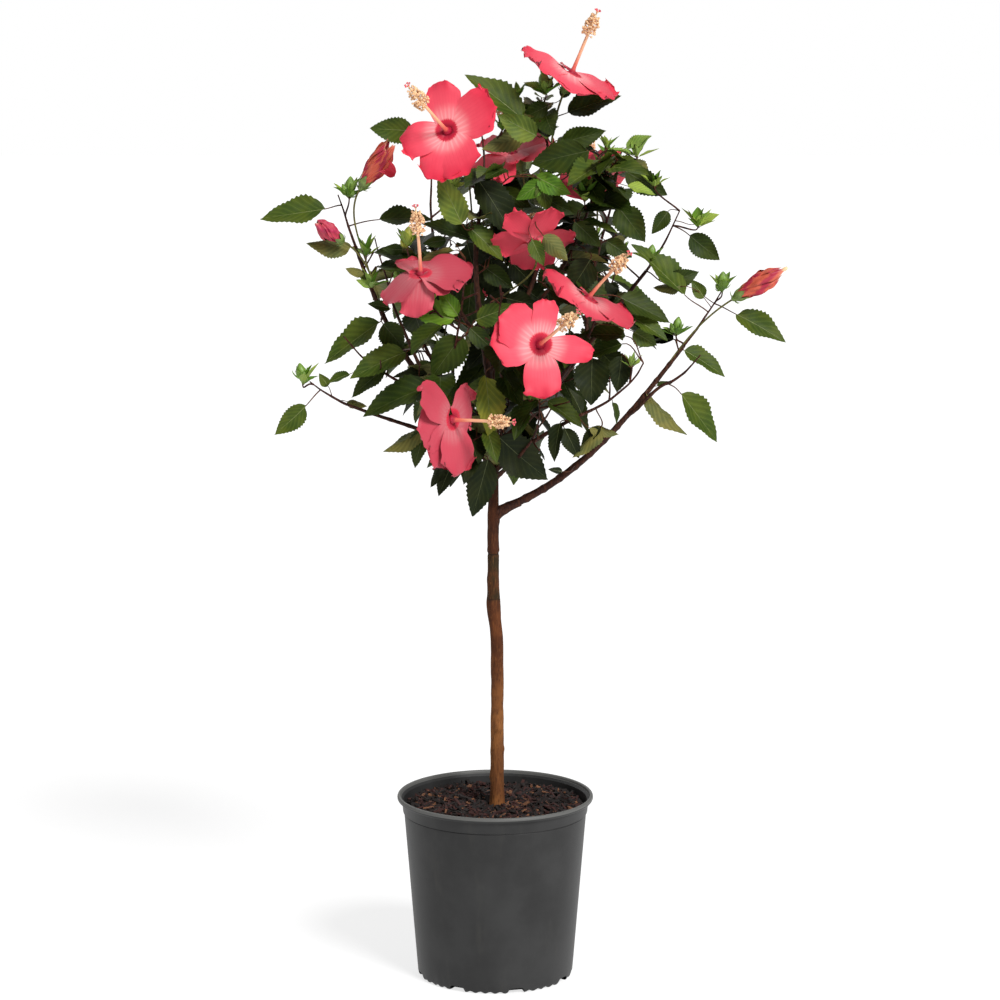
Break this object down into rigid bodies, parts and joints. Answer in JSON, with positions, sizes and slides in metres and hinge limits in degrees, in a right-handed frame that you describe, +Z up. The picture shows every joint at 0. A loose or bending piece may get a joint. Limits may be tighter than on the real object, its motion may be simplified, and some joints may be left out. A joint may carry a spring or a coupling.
{
  "type": "tree-form hibiscus shrub in nursery pot",
  "caption": "Flowering hibiscus trained as a small standard: one bare trunk, a round leafy crown with pink blooms, in a round plastic nursery pot.",
  "frame": {"origin": "centre of the pot's flat underside, where the plant stands", "axes": "+Z up along the trunk, -Y towards the front of the crown, +X to the right as seen from the front"},
  "size_m": [0.6593, 0.5164, 1.2521],
  "materials": {
    "pot_plastic": "charcoal grey moulded plastic, low sheen",
    "potting_mix": "moist dark red-brown bark mix",
    "bark": "dull brown bark, fine cracks and rings",
    "bark_young": "dull red-brown young bark",
    "leaves": "dark green leaf, soft gloss",
    "petals": "coral pink petal, satin"
  },
  "bodies": {
    "root": {"pot": "pot_plastic", "potting_mix": "potting_mix", "trunk": "bark", "bough_right_low": "bark_young", "bough_right_mid": "bark_young", "bough_right_high": "bark_young", "bough_leader": "bark_young", "bough_left_high": "bark_young", "bough_left_low": "bark_young", "bough_front_left_low": "bark_young", "bough_front_right_low": "bark_young", "bough_front": "bark_young", "bough_back_low": "bark_young", "bough_back_left": "bark_young", "bough_back_right": "bark_young", "bough_top": "bark_young", "bough_back_high": "bark_young", "bough_upper_left": "bark_young", "bough_upper_right": "bark_young", "bough_left_mid": "bark_young", "bough_front_left": "bark_young", "bough_front_right": "bark_young", "bough_right_back": "bark_young", "bough_right_side": "bark_young", "bough_left_back": "bark_young", "bloom_top": "petals", "bloom_upper_left": "petals", "bloom_upper_back": "petals", "bloom_left": "petals", "bloom_centre_high": "petals", "bloom_right": "petals", "bloom_centre": "petals", "bloom_lower_left": "petals", "bloom_right_back": "petals", "bloom_back": "petals", "spent_bloom_left_high": "petals", "spent_bloom_left_side": "petals", "spent_bloom_right_low": "petals", "foliage_right_low": "leaves", "foliage_right_mid": "leaves", "foliage_right_high": "leaves", "foliage_leader": "leaves", "foliage_left_high": "leaves", "foliage_left_low": "leaves", "foliage_front_left_low": "leaves", "foliage_front_right_low": "leaves", "foliage_front": "leaves", "foliage_back_low": "leaves", "foliage_back_left": "leaves", "foliage_back_right": "leaves", "foliage_top": "leaves", "foliage_back_high": "leaves", "foliage_upper_left": "leaves", "foliage_upper_right": "leaves", "foliage_left_mid": "leaves", "foliage_front_left": "leaves", "foliage_front_right": "leaves", "foliage_right_back": "leaves", "foliage_right_side": "leaves", "foliage_left_back": "leaves"}
  },
  "joints": []
}
